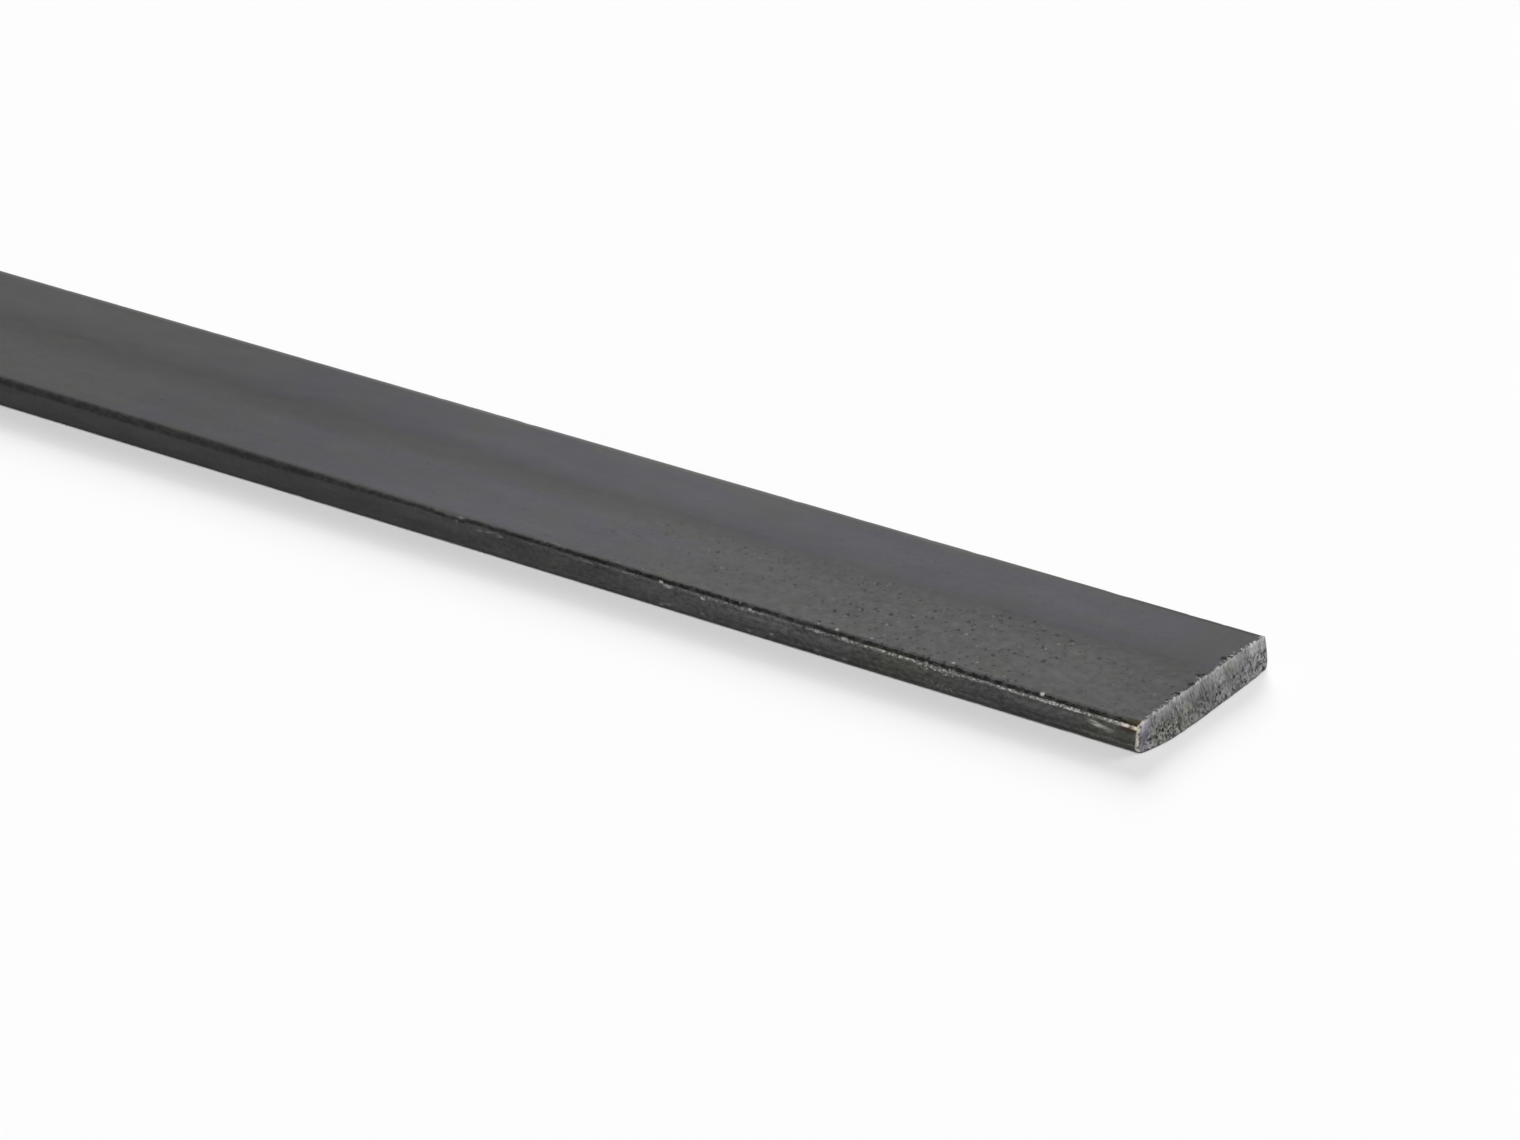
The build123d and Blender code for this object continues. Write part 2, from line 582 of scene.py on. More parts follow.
# %% [markdown]
# ## One material for the whole bar
#
# Mill scale, worn corners and torn steel share one material, because on the bar they run into
# each other: scale wears through at a corner, and flakes off along a cut. The colours are mixed
# by masks, and each mask is a sentence about the bar, such as "near the middle of a rounded
# corner". The measures that those sentences are made of come first, in millimetres, apart from
# `toward_burr`, which runs from 0 at the dragged edge of a cut to 1 at its burr.
#
# So `to_cut.step(80, 25)` reads: not yet at 80 mm from the cut, and in full from 25 mm on.

# %% Say where a spot lies
finish = bpy.data.materials.new("mill_scale")
finish.use_nodes = True
bench = Bench(finish.node_tree)
mix, measure, cloud, spots = bench.mix, bench.measure, bench.cloud, bench.spots

place = bench.node("ShaderNodeTexCoord", give="Object")
along_m, across_m, up_m = bench.node("ShaderNodeSeparateXYZ", None, {"Vector": place},
                                     give=("X", "Y", "Z"))
mm_along, mm_across, mm_up = along_m / MM, across_m / MM, up_m / MM
to_cut = cut_at - abs(mm_along)
offset, edge_gap = measure("corner_offset"), measure("from_cut")
hollow, toward_burr = measure("relief"), measure("toward_burr")

front_end = mm_along.step(-1, 1)
near_half, near_side = mm_across.step(3.0, -2.0), mm_across.step(-10, -12)
near_front = near_side * front_end
upper = mm_up.step(2.2, 2.8)


def count_nodes(after):
    """Prints how large the net has grown."""
    print("nodes after", after + ":", len(bench.tree.nodes))


count_nodes("the measures")

# %% [markdown]
# ## The line that a corner follows
#
# Painted shade, wear with its painted highlight, and the border between a wide face and a narrow
# side all follow the rounded corner, but none of them is ruled. `line` is the corner's own
# measure, bent a little: it wanders by some hundredths of a millimetre, sinks towards the cut,
# rises further along, and drops where the corner is chipped, about 120 mm from the cut.

# %% Follow a corner
corner_chip = to_cut.step(127, 120) * to_cut.step(118.4, 119.2) * near_front
line = (offset + (cloud((9, 60, 60), seed=30) - 0.5) * 0.12
        + to_cut.step(80, 25) * 0.14 - to_cut.step(70, 110) * 0.07 + corner_chip * 0.34)
on_side = line.step(0.1, -0.25)
count_nodes("the line")

# %% [markdown]
# ## Tint of the scale
#
# Mill scale is three oxides in one thin skin, and its colour shifts with its thickness. Where it
# cooled slowly it has a violet bloom, which lies mostly in the far half here, and in the near
# half only further from the cut. Here and there a small patch leans to olive. Both are faint.

# %% Tint of the scale
scale_grey = 0.088
plain, blue, olive = (1.0, 1.0, 1.0, 1), (0.98, 0.965, 1.125, 1), (1.03, 1.01, 0.88, 1)
far_blue = mm_across.bump(9.0, 9.5, 4.0)
near_blue = mm_across.step(-0.5, -5.0) * to_cut.step(50, 120) * offset.step(0.3, 1.4)
bloom = far_blue.most(near_blue) * to_cut.step(225, 150) * (1 - to_cut.step(14, 6) * 0.5)
blue_share = (cloud((13, 7, 7), seed=1) * 1.6 + bloom * 0.75).step(1.08, 1.62)
olive_share = cloud((8, 3.5, 3.5), seed=2).step(0.56, 0.70) * 0.6
tint = bench.coat(plain, (blue_share, blue), (olive_share, olive))
count_nodes("the tint")

# %% [markdown]
# ## Light and shade of the scale
#
# The rolls wear unevenly, so a bar carries long, soft bands: here a darker trough along the
# middle with a broken streak in it. Over that lie clouds about a centimetre across and a mottle
# of a millimetre or two, strongest in the near half towards the cut, where the scale has been
# knocked about most: `busy` says where. The face is also painted darker further from the cut, a
# painted shade for the light falling off along the bar. Last come the two rims of the wide face,
# with painted highlights where they begin to turn and painted shade on them in places.

# %% Light and shade of the scale
busy = (0.20 + 0.80 * near_half) * (0.15 + 0.85 * to_cut.step(118, 42))
wander = mm_across + (cloud((40, 40, 40), seed=5, detail=2) - 0.5) * 3
trough = wander.bump(1.8, 7.5, 0.5)
streak = wander.bump(2.3, 1.6) * cloud((6, 2, 2), seed=6).step(0.38, 0.60)
cloudy = 1 + (cloud((16, 5, 5), seed=3, detail=4) - 0.5) * 0.30
mottle = 1 + (cloud((1.5, 1.7, 1.4), seed=4, detail=5, roughness=0.72) - 0.5) * (0.10 + 1.32 * busy)
shade = cloudy * mottle * (1.03 - trough * (0.14 + 0.04 * to_cut.step(90, 140)) - streak * 0.08)
# Painted shade: darker from 100 mm behind the cut on, and a little darker in the last 18 mm.
shade = shade * (1 - to_cut.step(100, 185) * 0.24) * (1 - to_cut.step(18, 8) * 0.06)
count_nodes("the bands")

# %% Light along the rims of the wide face
# Painted highlights and painted shade along the two rims of the wide face.
near_rim = (offset.bump(0.62, 0.4, 0.1) * to_cut.step(120, 60) * 0.18
            - offset.bump(0.6, 0.8, 0.2) * to_cut.step(95, 130) * 0.06) * near_side
far_light = 0.4 * to_cut.step(30, 60) + 0.3 * to_cut.step(110, 150) - 0.28 * to_cut.step(35, 12)
far_rim = offset.bump(0.72, 0.6, 0.2) * mm_across.step(10, 12) * far_light
shade = shade * (1 + near_rim) * (1 + far_rim)
count_nodes("the rims")

# %% [markdown]
# ## Pits in the scale
#
# Where a flake of scale was rolled in and fell out again, it leaves a shallow pit up to a
# millimetre wide, painted darker as the shade in its hollow, with a crumb of bright steel here
# and there beside it, painted as a glint of light. `spots` scatters them: each cell draws a
# number, and only the higher ones get a pit. The cells are flat, as only the wide faces have
# such pits, and they are drawn out across the bar with a lean. Scattering gives the right crowd
# but never the right few, so the largest pits are placed one by one, each a lopsided blot.

# %% Pits and glints
pit_slant = -33  # in degrees
painted_pit_shade, painted_small_pit_shade = 0.58, 0.44
ragged_rim = (cloud((0.4, 0.6, 0.45), seed=32, roughness=0.7) - 0.5) * 0.5
crowd = (cloud((9, 5, 5), seed=8).step(0.36, 0.56) * (0.5 + 0.5 * to_cut.step(8, 24))
         * busy * (1 - on_side))
far, drawn = spots((2.0, 3.1, 1), seed=7, solid="2D", slant=pit_slant)
chosen = (drawn - 0.25).most(0)
pit_size = chosen * chosen * 0.46
pit = (pit_size - far + ragged_rim * pit_size.step(0, 0.1)).step(0, 0.09) * crowd
far_small, drawn_small = spots((1.0, 1.5, 1), seed=33, solid="2D", slant=pit_slant)
small_pit = ((drawn_small - 0.28).most(0) * 0.5 - far_small + ragged_rim * 0.5).step(0, 0.12) * crowd
far_glint, drawn_glint = spots((1.9, 2.8, 1), seed=31, solid="2D", slant=pit_slant)
painted_glint = ((drawn_glint - 0.45).most(0) * 0.30 - far_glint).step(0, 0.06) * crowd
count_nodes("the small pits")

# %% The largest pits, placed one by one
large_pits = (  # how far from the cut, how far across, and how large
    (37.2, -3.9, 0.42), (35.3, -5.8, 0.30), (43.2, -3.7, 0.33), (42.4, -9.7, 0.33),
    (33.2, 0.7, 0.36), (29.6, 1.6, 0.34), (28.2, -11.2, 0.38), (30.1, -10.2, 0.26),
)
for pit_at, pit_across, size in large_pits:
    behind, beside = pit_at - to_cut, mm_across - pit_across
    length, breadth = behind + beside * 0.62, behind * 0.3 - beside * 0.59
    blot = (length * length + breadth * breadth + ragged_rim * size).step(size**2 * 1.3, size**2 * 0.4)
    pit = pit.most(blot * (1 - on_side) * front_end * 0.9)
# Painted shade in the pits and painted glints of light beside them.
shade = shade * (1 - pit * painted_pit_shade) * (1 - small_pit * painted_small_pit_shade) * (1 + painted_glint)
count_nodes("all pits")

# %% [markdown]
# ## Narrow sides
#
# The narrow sides are painted darker than the wide faces, a painted shade, as light from above
# only grazes them. The rolls touch them least, so their scale is thicker and holds oil and dust.
# In the last ten centimetres they are painted lighter towards the top, where more light falls,
# and are the most mottled.

# %% Narrow sides
oily = (1.04, 1.04, 0.84, 1)
side_cloud = cloud((9, 3, 1.6), seed=16, detail=4, roughness=0.6)
side_grain = cloud((1.1, 0.8, 0.6), seed=17, detail=4, roughness=0.7)
side_busy = to_cut.step(150, 60)
# Painted light and shade: darker than the wide faces, lighter towards the top near the cut.
side_light = (0.56 + 0.14 * side_busy + 0.28 * mm_up.step(1.0, 3.8) * to_cut.step(105, 55)
              - 0.06 * mm_up.step(3.0, 4.2) * to_cut.step(85, 105))
side_shade = side_light * (1 + (side_cloud - 0.5) * (0.7 + 0.45 * side_busy)
                           + (side_grain - 0.5) * (0.5 + 1.8 * side_busy))
oil_film = cloud((18, 5, 5), seed=18, detail=2).step(0.60, 0.72) * 0.3
oiled = to_cut.bump(40, 13).most(to_cut.step(14, 6)).most(oil_film)
shade = shade * (1 - on_side) + side_shade * on_side
tint = mix(on_side, tint, mix(oiled * 0.55, plain, oily))
count_nodes("the narrow sides")

# %% [markdown]
# ## Painted shade in the turn of a corner
#
# A black line of painted shade runs along each rounded corner, standing for the dark reflection
# that the turn of the corner shows. Near the cut it is narrow and breaks into dashes. Further
# along it grows wide, soft and paler. `jagged` frays it, and later shakes the wear with its
# painted highlight and the knocks in the same way, so that they belong together. Below the wear
# runs a second, much fainter line of painted shade.

# %% Painted shade in the turn of a corner
softened = to_cut.step(115, 172) * upper
dash = cloud((1.3, 1, 1), seed=19, roughness=0.7).step(0.36, 0.58)
jagged = ((cloud((0.8, 60, 60), seed=34, detail=4, roughness=0.7) - 0.5) * 0.62
          + (cloud((2.4, 60, 60), seed=46) - 0.5) * 0.5 * to_cut.bump(92, 36, 20))
turn_reach, turn_core = 0.47 + softened * 0.5, 0.2 + softened * 0.2
# A painted dark line of shade along each rounded corner.
painted_turn_shade = ((line + jagged + 0.21 + softened * 0.2).bump(0, turn_reach, turn_core)
             * (0.4 + 0.6 * upper)
             * (1 - to_cut.step(85, 135) * 0.36 - to_cut.bump(48, 18, 8) * 0.07))
# A fainter painted shade below the wear.
painted_shade_below_wear = line.bump(-1.30, 0.32, 0.08) * near_side * to_cut.step(95, 60)
shade = shade * (1 - painted_turn_shade * (0.45 + 0.42 * dash)) * (1 - painted_shade_below_wear * 0.14)
skin_colour = bench.dim(tint, shade * scale_grey)
count_nodes("the corner_shade")

# %% [markdown]
# ## Bright wear and painted highlight below the turn
#
# Bars rub on one another in the rack, and the proudest line of the narrow side wears through to
# the steel. It is a run of small bright patches that grow together towards the cut, painted
# brighter still as the highlight that the turn of the corner catches. The wear rises in stages:
# the table of stages says where each begins, where it is complete and what it adds.

# %% Bright wear and painted highlight below the turn
worn_and_highlight_colour = (0.60, 0.59, 0.55, 1)
wear_and_highlight_stages = ((150, 115, 0.015), (115, 70, 0.06), (60, 38, 0.13), (36, 24, 0.11), (18, 7, 0.36))
wear_and_highlight_level = sum(added * to_cut.step(start, stop) for start, stop, added in wear_and_highlight_stages)
wear_and_highlight_patch = 0.5 + cloud((4.5, 1.2, 1.2), seed=9, detail=4).step(0.36, 0.64)
wear_and_highlight_speckle = (0.05 + 0.16 * to_cut.step(45, 22)
                + 3.3 * cloud((0.6, 0.28, 0.28), seed=10, roughness=0.75).step(0.48, 0.64))
# Worn steel along the corner, painted bright as a highlight as well.
wear_and_highlight_line = (line - jagged * 0.5 + 0.80).bump(0, 0.35, 0.08) * (0.2 + 0.8 * upper)
wear_and_highlight = (wear_and_highlight_line * wear_and_highlight_level * wear_and_highlight_patch * wear_and_highlight_speckle).least(0.85)
far_fleck, drawn_fleck = spots((1.7, 1.3, 1.3), seed=20)
flecks = (((drawn_fleck - 0.84).most(0) * 1.4 - far_fleck).step(0, 0.06)
          * offset.bump(-0.7, 1.0) * to_cut.step(125, 85))
count_nodes("the wear")

# %% [markdown]
# ## Marks placed one by one
#
# A bar is known by its single marks, and noise can't place those. All sit on the near corner of
# the near end: twelve knocks broken into crumbs, the nick that the mesh has too, three thin
# scrapes, a bruise, a dot on the side, and a slanting scuff by the cut.

# %% Knocks and a nick
knocks = (  # how far from the cut, corner offset, how long, how bright
    (119.6, 0.0, 0.6, 0.22), (120.3, -0.7, 0.6, 0.15), (112.0, -1.1, 0.9, 0.20), (101.5, 0.45, 2.0, 0.07),
    (82.2, -0.58, 0.45, 0.8), (81.0, -0.9, 1.2, 0.6), (74.6, -1.15, 0.6, 0.6), (66.3, -0.65, 0.5, 0.7),
    (54.3, -0.9, 0.6, 0.7), (49.5, -0.8, 0.7, 0.8), (51.2, 0.4, 0.45, 0.7), (31.4, 0.75, 0.4, 0.7),
)
shaken_run, shaken_offset = to_cut + jagged, offset + jagged * 0.5
knocked = to_cut.bump(16.0, 0.5, 0.1) * offset.bump(0.0, 0.55, 0.1) * upper * near_front
for knock_at, knock_offset, knock_length, knock_light in knocks:
    knocked = knocked.most(shaken_run.bump(knock_at, knock_length, 0.1) * near_front * knock_light
                           * shaken_offset.bump(knock_offset, 0.36, 0.05))
crumbs = cloud((0.35, 0.3, 0.3), seed=43, detail=2, roughness=0.7).step(0.40, 0.50)
knocked = knocked * (0.25 + 0.75 * crumbs)
count_nodes("the knocks")

# %% Scrapes, bruise, dot and scuff
track = offset + jagged * 0.4
slanting_scrape = to_cut.bump(114.5, 3.2, 1.4) * (offset + to_cut * 0.08 - 8.15).bump(0, 0.32, 0.06)
first_scrape = to_cut.bump(96.7, 3.0, 1.4) * track.bump(-0.93, 0.30, 0.06)
second_scrape = to_cut.bump(89.2, 4.6, 3.0) * track.bump(-0.74, 0.30, 0.06)
scraped = (slanting_scrape.most(first_scrape).most(second_scrape)
           * cloud((1.4, 0.4, 0.4), seed=45, roughness=0.7).step(0.44, 0.58))
bruise = (to_cut.bump(33.5, 4.5, 1.5) * line.bump(-0.95, 0.85, 0.3)
          * cloud((0.5, 0.4, 0.35), seed=38, detail=2, roughness=0.7).step(0.52, 0.62))
dot = to_cut.bump(62.3, 0.5, 0.1) * mm_up.bump(1.40, 0.32)
scuff = (to_cut.bump(5.8, 2.9, 0.8) * (mm_up - to_cut * 0.2).bump(1.40, 0.62, 0.1)
         * cloud((1.4, 0.8, 0.3), seed=21).step(0.26, 0.60))
marks = (scraped * 0.12).most(bruise * 0.55).most(dot).most(scuff * 0.72) * near_front
wear_and_highlight = wear_and_highlight.most(flecks * 0.9).most(knocked * 0.9).most(marks)
# Wear, marks and the painted highlight, laid over the scale.
skin_colour = mix(wear_and_highlight * (0.25 + 0.75 * upper), skin_colour, worn_and_highlight_colour)
count_nodes("all marks")

# %% [markdown]
# ## Torn steel
#
# The cut is bare steel that has had time to dull. Its grains catch the light one by one, so each
# is painted its own light and shade from a cell of its own, coarse in the fracture and overlaid
# with upright drag marks in the band above it. The blades crushed it most towards both sides,
# where it is roughest. The mesh's own relief is painted in as shade too: darker in its hollows,
# lighter on its rises.

# %% Torn steel
steel_grey = 0.185
speckle = cloud((0.42, 0.36, 0.36), seed=11, detail=4, roughness=0.7)
_, crystal = spots((0.50, 0.44, 0.40), seed=22)
drag_marks = cloud((1, 0.42, 1.8), seed=23, roughness=0.6)
dragged = cloud((3, 3.2, 8), seed=39, detail=2).step(0.40, 0.60)
coarse = (toward_burr + (cloud((3, 2.5, 2.5), seed=27, detail=2) - 0.5) * 0.5).step(0.72, 0.48)
smooth_corner = mm_across.step(-13.5, -16)
crushed = mm_across.step(-6, -10).most(mm_across.step(7, 12))
roughened = cloud((3, 2.6, 1.6), seed=37, detail=2).step(0.38, 0.60) * 0.6 + crushed * 0.55
grain_marks = (crystal - 0.5) * (0.3 + 1.2 * coarse) + (speckle - 0.5) * (0.9 + 1.9 * coarse)
# The mesh's relief, painted in as shade: darker in hollows, lighter on rises.
mottled = (1 + grain_marks * (0.45 + 0.8 * roughened)
           * (1 - 0.5 * smooth_corner * toward_burr.step(0.3, 0.5))
           + (drag_marks - 0.5) * (1.9 - 1.3 * coarse) * (0.80 + 0.9 * dragged) + hollow * 3.0)
count_nodes("the grain of the cut")

# %% [markdown]
# ## Facets and tint of the cut
#
# A torn face isn't flat. It has broken into facets a few millimetres wide that look up or down a
# little, and they are painted lighter or darker for it, as painted light and shade. `facets` lists
# them, for the upper band, the lower one or both. The near edge was heated most and kept a faint
# violet, and parts carry a film of oil.

# %% Light on the cut
upper_band = toward_burr.step(0.45, 0.65)
lower_band, both_bands = 1 - upper_band, 1
facets = (  # the band, the middle across the bar, how wide, how wide in full, how much lighter
    (both_bands, -6.0, 2.6, 0.8, 0.16),
    (upper_band, 3.8, 3.0, 1.0, 0.12), (upper_band, -10.2, 2.6, 1.0, -0.10),
    (upper_band, 7.0, 1.8, 0.6, -0.12),
    (lower_band, 3.6, 3.0, 1.0, 0.24), (lower_band, -10.2, 2.6, 1.0, 0.08),
    (lower_band, -0.8, 2.0, 0.6, -0.10),
)
facet_light = 1 + 0.32 * mm_across.step(10.5, 13) + 0.10 * smooth_corner * upper_band
for band, middle, width, core, lighter in facets:
    facet_light = facet_light + mm_across.bump(middle, width, core) * band * lighter
# Painted light and shade on the cut: lighter towards the burr and the far side, varied across the bar, and
# painted shade along its dragged edge.
torn_light = (0.70 + 0.56 * toward_burr.step(0.5, 1.0)
              + 0.28 * toward_burr.step(0.45, 0.1) * (1 - 0.95 * mm_across.step(-7, 8)))
torn_light = torn_light * (0.96 + 0.20 * mm_across.step(0, 9)) * (1 + smooth_corner * 0.15)
torn_light = (torn_light * (1 + 0.20 * toward_burr.step(0.45, 0.75) * mm_across.step(-2, -9))
              * (1 - 0.15 * toward_burr.step(0.18, 0.08)))
torn_shade = mottled.most(0.10) * torn_light * facet_light * (1.04 - 0.08 * roughened)
count_nodes("the light on the cut")

# %% Tint of the cut
heated, filmed = (1.02, 0.95, 1.12, 1), (1.03, 1.04, 0.84, 1)
film = (mm_across.bump(-9.5, 7.0, 3.5) * toward_burr.step(0.68, 0.50)).most(
    mm_across.bump(7.2, 1.8, 0.6) * toward_burr.step(0.50, 0.62))
film = film * cloud((4, 4, 2), seed=24, detail=2).step(0.30, 0.60)
torn_tint = bench.coat(plain, (smooth_corner * 0.8, heated), (film * 0.75, filmed))
torn_colour = bench.dim(torn_tint, torn_shade * steel_grey)
count_nodes("the tint of the cut")

# %% [markdown]
# ## Where scale gives way to torn steel
#
# The scale ends in a ragged line at the edge of the cut. Round the dragged edge it is pulled
# over a little. Along the burr the line wanders more, and it reaches over onto the cut by a
# tenth of a millimetre or two, most of all in the middle.

# %% Where scale gives way to torn steel
last_torn = toward_burr.step(0.85, 0.97)
burr_wobble = ((cloud((60, 1.3, 60), seed=40, detail=2, roughness=0.6) - 0.5) * 0.8
               + (cloud((60, 0.6, 60), seed=44, detail=2) - 0.5) * 0.5)
wobble = (cloud((0.9, 0.6, 0.6), seed=25) - 0.5) * 0.3 + burr_wobble * last_torn
pulled_round = toward_burr.step(0.12, 0.0) * 0.25
bent_in = last_torn * (mm_across.step(-8, -2) * 0.14 + mm_across.bump(0, 7, 3.5) * 0.13)
ragged_gap = edge_gap + wobble + bent_in
cut_mask = (ragged_gap + pulled_round).step(0.05, -0.05)
count_nodes("the edge of the cut")

# %% [markdown]
# ## Holes behind the burr
#
# Behind the burr the scale has burst off. It left holes, painted near-black as the shade inside
# them, most of them in four groups, with grey flakes between them. The largest holes are placed
# one by one.

# %% Holes behind the burr
painted_hole_shade, flake_grey = (0.004, 0.004, 0.004, 1), (0.22, 0.22, 0.22, 1)
hole_groups = ((-6.3, 1.4), (-2.9, 1.2), (0.3, 1.5), (7.4, 1.5))  # middle across the bar, reach
large_holes = (  # how far across the bar, how far behind the edge, how large
    (-8.9, 0.3, 0.40), (-6.2, 0.5, 0.60), (-2.9, 0.5, 0.55),
    (0.3, 0.9, 0.60), (1.0, 0.45, 0.55), (7.1, 0.7, 0.70),
)
burst = cloud((5, 2.4, 5), seed=29, detail=2).step(0.48, 0.64) * 0.4
for group_across, group_reach in hole_groups:
    burst = burst.most(mm_across.bump(group_across, group_reach, 0.4))
behind_burr = last_torn * (ragged_gap + wobble * 0.3).bump(0.62, 0.62, 0.25) * burst
hole = behind_burr * cloud((0.55, 0.5, 1), seed=28, detail=2).step(0.51, 0.57)
for hole_across, hole_gap, size in large_holes:
    hole = hole.most(last_torn * (mm_across + wobble).bump(hole_across, size, 0.15)
                     * ragged_gap.bump(hole_gap, size, 0.2))
flake = behind_burr * cloud((0.5, 0.45, 1), seed=41, detail=2).step(0.54, 0.62) * (1 - hole)
# Holes painted near-black as shade, and grey flakes between them.
skin_colour = bench.coat(skin_colour, (hole, painted_hole_shade), (flake * 0.6, flake_grey))
colour = mix(cut_mask, skin_colour, torn_colour)
count_nodes("the holes")

# %% [markdown]
# ## Burr
#
# The burr is the brightest steel on the bar. Where it was torn last it has teeth, a beaded ridge
# at their root and a crest of crumbs just behind. Down the near edge of the cut it is a rubbed,
# cream-coloured line.

# %% Burr
ragged = cloud((1.4, 0.55, 1.4), seed=12, roughness=0.7)
burr_teeth = (last_torn * (edge_gap + bent_in + (ragged - 0.5) * 0.9).bump(-0.24, 0.36, 0.1)
              * ragged.step(0.40, 0.56))
beads = cloud((60, 0.6, 60), seed=35, detail=2, roughness=0.6) + mm_across.step(-10, -16) * 0.06
ridge = last_torn * beads.step(0.51, 0.57) * ragged_gap.bump(-0.02, 0.38, 0.16)
crest = (last_torn * cloud((0.55, 0.45, 1), seed=42, detail=2).step(0.60, 0.66)
         * ragged_gap.bump(0.20, 0.45, 0.15) * mm_across.step(16, 14))
crumb = cloud((0.6, 0.5, 0.45), seed=36, roughness=0.7)
near_burr = (near_front * mm_across.step(-15.8, -16.8) * mm_up.step(0.2, 0.6)
             * (edge_gap + (crumb - 0.5) * 0.9 + 0.42 * offset.step(-0.7, 0.3)).bump(0.34, 0.42, 0.12)
             * (0.25 + 0.75 * crumb.step(0.40, 0.56)))
colour = bench.coat(
    colour,
    (burr_teeth * 0.6, (0.44, 0.44, 0.43, 1)),
    (ridge * 0.70, (0.60, 0.60, 0.57, 1)),
    (crest * 0.85, (0.60, 0.60, 0.58, 1)),
    (near_burr * 0.95, (0.66, 0.63, 0.55, 1)),
)
count_nodes("the burr")

# %% [markdown]
# ## Rust and heat colours
#
# Where the two stretches of burr meet, at the near corner, the last few millimetres are coloured.
# A little rust has crept back round the turn, a reddish band of painted shade lies below, and
# between them are brassy, cream and rosy spots of steel.

# %% Rust and heat colours
corner_patch = near_front * upper * edge_gap.step(0.2, 0.45)
rusty = (edge_gap.step(3.6, 1.2) * offset.bump(0.0, 0.55, 0.2)
         * cloud((1.2, 0.8, 0.8), seed=26, detail=2).step(0.30, 0.55))
# A reddish painted shade below the bright line.
painted_shade_band = edge_gap.bump(2.0, 1.9, 0.7) * line.bump(-1.40, 0.45, 0.15)
brassy = edge_gap.bump(0.9, 0.9, 0.2) * line.bump(-0.82, 0.40, 0.10)
cream = edge_gap.bump(0.80, 0.42, 0.1) * line.bump(-0.80, 0.34, 0.08)
rosy = edge_gap.bump(2.5, 0.85, 0.35) * line.bump(-0.78, 0.36, 0.10)
colour = bench.coat(
    colour,
    (corner_patch * rusty * 0.85, (0.070, 0.055, 0.030, 1)),
    (corner_patch * painted_shade_band * 0.8, (0.045, 0.022, 0.017, 1)),
    (corner_patch * brassy * (0.3 + 0.7 * crumb.step(0.42, 0.56)), (0.52, 0.42, 0.27, 1)),
    (corner_patch * cream * 0.9, (0.80, 0.71, 0.55, 1)),
    (corner_patch * rosy * (0.5 + 0.5 * crumb.step(0.40, 0.56)), (0.74, 0.63, 0.61, 1)),
)
count_nodes("the heat colours")

# %% [markdown]
# ## The finish as a whole
#
# Scale is neither bright metal nor paint, so the surface stands half-way between the two. Pits,
# grains and a fine grit become small hills and hollows for the light to catch.

# %% Put the finish together
rough = (0.42 + (cloud((5, 3, 3), seed=13, detail=2) - 0.5) * 0.12 + cut_mask * 0.10 + on_side * 0.08
         - wear_and_highlight * 0.12)
hills = (cloud((0.5, 0.35, 0.35), seed=14, detail=4) * (0.012 + 0.02 * on_side)
         - pit * 0.04 - small_pit * 0.02 + cut_mask * (speckle * 0.12 + crystal * 0.04))
normal = bench.node("ShaderNodeBump", None, {"Height": hills, "Distance": MM, "Strength": 1.0})
surface = bench.node("ShaderNodeBsdfPrincipled", None,
                     {"Base Color": colour, "Metallic": 0.5, "Roughness": rough, "Normal": normal,
                      "Specular IOR Level": 0.2, "Specular Tint": (0.5, 0.5, 0.5, 1)})
bench.node("ShaderNodeOutputMaterial", None, {"Surface": surface})
mesh.materials.append(finish)
count_nodes("the whole finish")

# %% [markdown]
# ## Floor, world and lamps
#
# A plain white sheet lets the dark bar speak. The lamps are suns with broad discs: a sun lights
# every spot alike, so the sheet stays evenly white, and a broad disc gives the soft edge that a
# big diffuser gives in a studio. The one behind is low and throws the shadow forward. The suns
# are kept out of the reflections, where the white surroundings show instead.

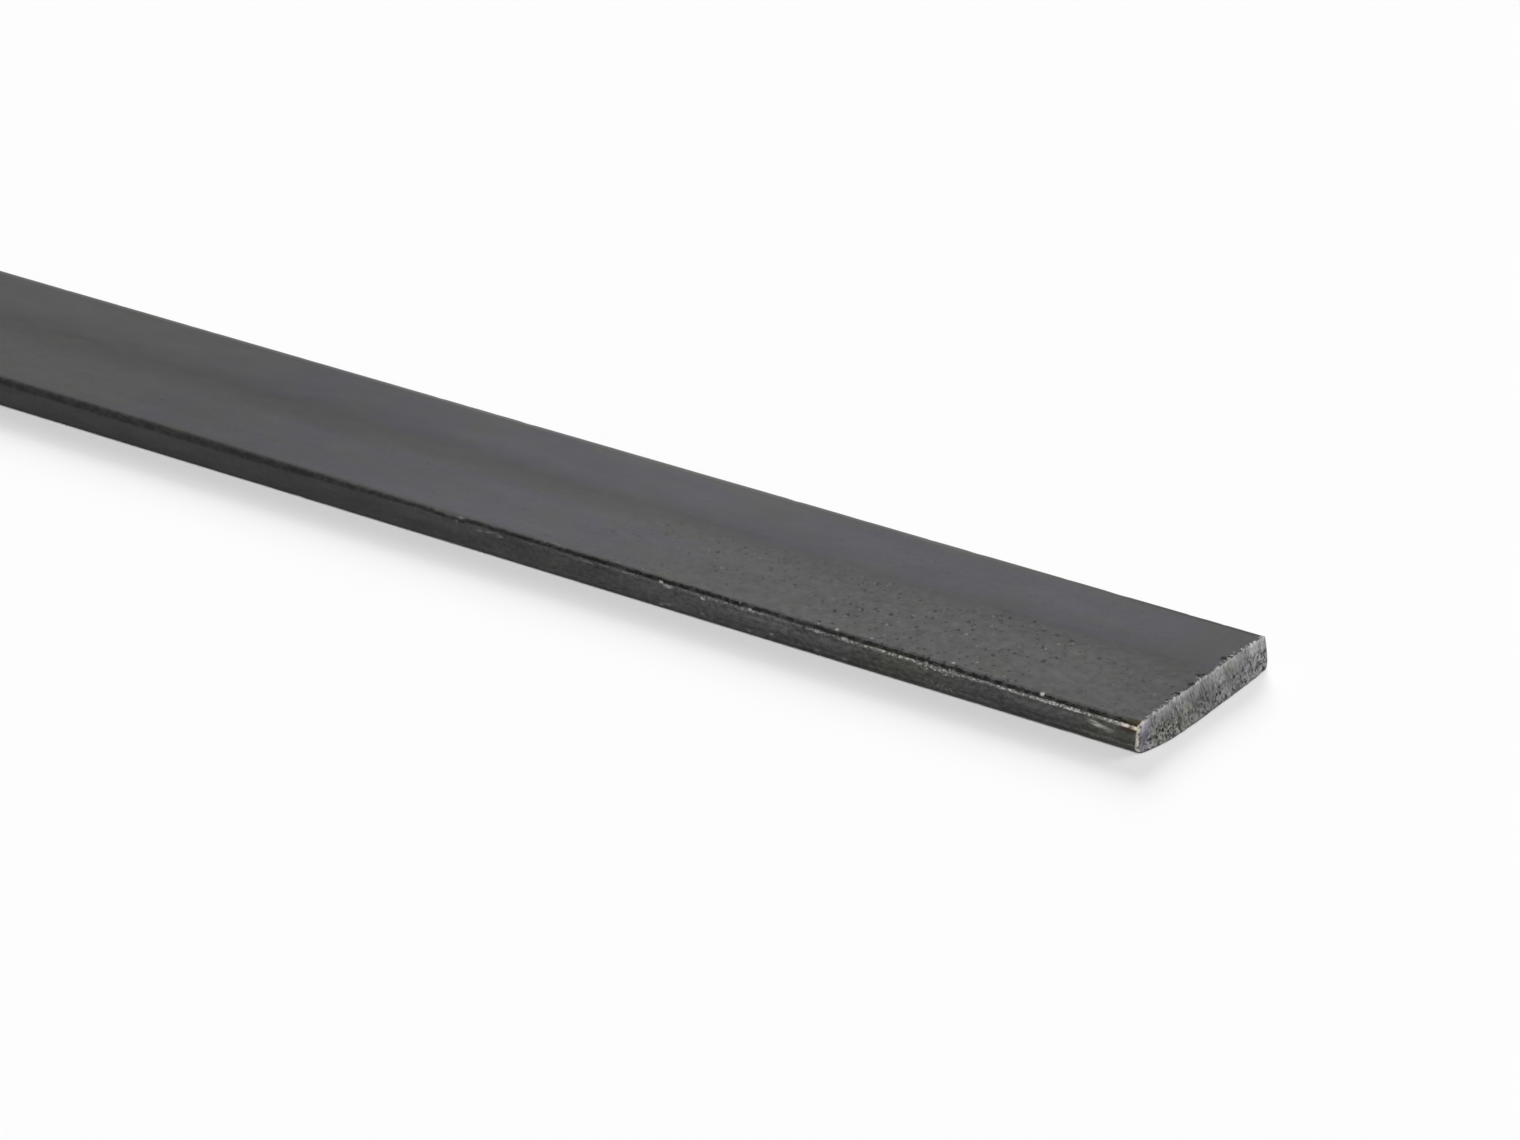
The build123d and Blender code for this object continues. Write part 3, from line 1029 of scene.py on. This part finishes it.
# %% Lay the floor
floor_size = 8  # in metres
paper_white, paper_mottle = 0.936, 0.01
bpy.ops.mesh.primitive_plane_add(size=floor_size)
floor = bpy.context.object
floor.name = "floor"
paper = bpy.data.materials.new("paper")
paper.use_nodes = True
sheet = Bench(paper.node_tree)
whiteness = paper_white + (sheet.cloud((40, 40, 40)) - 0.5) * paper_mottle
white = sheet.node("ShaderNodeBsdfDiffuse", None,
                   {"Color": sheet.node("ShaderNodeCombineColor", None, [whiteness] * 3)})
sheet.node("ShaderNodeOutputMaterial", None, {"Surface": white})
floor.data.materials.append(paper)
print("floor:", floor_size, "m square")

# %% Light the world
light_level = 1.05  # on the floor, where 1 shows a colour as it is written
world_share = 0.10
world = bpy.data.worlds.new("studio")
bpy.context.scene.world = world
world.use_nodes = True
sky = Bench(world.node_tree)
camera_ray, glossy_ray, through_ray = sky.node(
    "ShaderNodeLightPath", give=("Is Camera Ray", "Is Glossy Ray", "Is Transmission Ray"))
seen = camera_ray.most(glossy_ray).most(through_ray)
ambient = light_level * world_share
glow = sky.node("ShaderNodeBackground", None,
                {"Color": (1, 1, 1, 1), "Strength": ambient + (1 - ambient) * seen})
sky.node("ShaderNodeOutputWorld", None, {"Surface": glow})
print("light from all round:", round(ambient, 3))


# %% Hang the lamps
def broad_sun(name, heading, height, disc, share):
    """A soft sun: where it stands, in degrees, how wide it is, and its share of the floor's light."""
    turn, tilt = math.radians(heading), math.radians(height)
    lamp = bpy.data.lights.new(name, "SUN")
    lamp.angle = math.radians(disc)
    lamp.energy = light_level * share * math.pi / math.sin(tilt)
    holder = bpy.data.objects.new(name, lamp)
    away = Vector((math.cos(turn) * math.cos(tilt), math.sin(turn) * math.cos(tilt), math.sin(tilt)))
    holder.rotation_euler = away.to_track_quat("Z", "Y").to_euler()
    holder.location = away * 3
    holder.visible_glossy = False
    bpy.context.scene.collection.objects.link(holder)
    print(name, "strength", round(lamp.energy, 2))


broad_sun("back_sun", heading=122, height=23, disc=24, share=0.27)
broad_sun("right_sun", heading=60, height=39, disc=32, share=0.10)
broad_sun("front_sun", heading=-33, height=38, disc=38, share=0.53)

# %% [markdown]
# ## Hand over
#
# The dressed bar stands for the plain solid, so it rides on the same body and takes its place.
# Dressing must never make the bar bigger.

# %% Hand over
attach(bar, "root")
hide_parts("flat_bar")
bpy.context.scene.view_settings.view_transform = "Standard"
